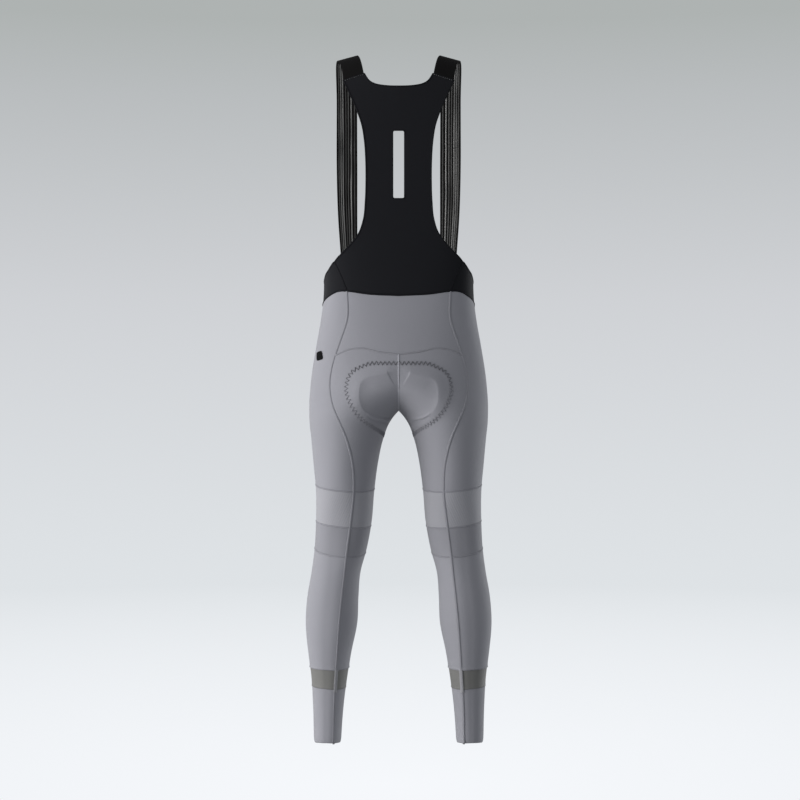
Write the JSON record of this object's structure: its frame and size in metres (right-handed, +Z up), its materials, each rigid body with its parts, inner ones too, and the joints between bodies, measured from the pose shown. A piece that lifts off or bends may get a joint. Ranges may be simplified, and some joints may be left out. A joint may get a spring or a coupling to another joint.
{
  "type": "cycling bib tights",
  "caption": "Full-length hollow cycling bib tights in worn shape, with a slotted back panel, two ribbed shoulder straps, panelled seat and legs, calf bands and an inner seat pad.",
  "frame": {"origin": "half way between the tops of the two shoulder straps, where the wearer's shoulders hold the garment up", "axes": "+X to the wearer's right, +Y to the wearer's front, +Z up"},
  "size_m": [0.3638, 0.2371, 1.3484],
  "materials": {
    "black_jersey": "matte knit",
    "black_elastic": "ribbed semi-sheer elastic",
    "grey_jersey": "brushed matte knit",
    "grey_mesh": "fine meshed knit",
    "reflective_band": "matte reflective weave",
    "pad_foam": "soft knit over foam",
    "black_label": "satin woven label"
  },
  "bodies": {
    "root": {"back_yoke": "grey_jersey", "bib_back": "black_jersey", "bib_front": "black_jersey", "calf_band_left": "reflective_band", "calf_band_right": "reflective_band", "calf_left": "grey_jersey", "calf_right": "grey_jersey", "cuff_left": "grey_jersey", "cuff_right": "grey_jersey", "hip_label": "black_label", "knee_lower_left": "grey_jersey", "knee_lower_right": "grey_jersey", "knee_upper_left": "grey_mesh", "knee_upper_right": "grey_mesh", "seam_tape_left": "grey_jersey", "seam_tape_right": "grey_jersey", "seat_left": "grey_jersey", "seat_pad": "pad_foam", "seat_right": "grey_jersey", "strap_left": "black_elastic", "strap_right": "black_elastic", "thigh_left": "grey_jersey", "thigh_right": "grey_jersey"}
  },
  "joints": []
}
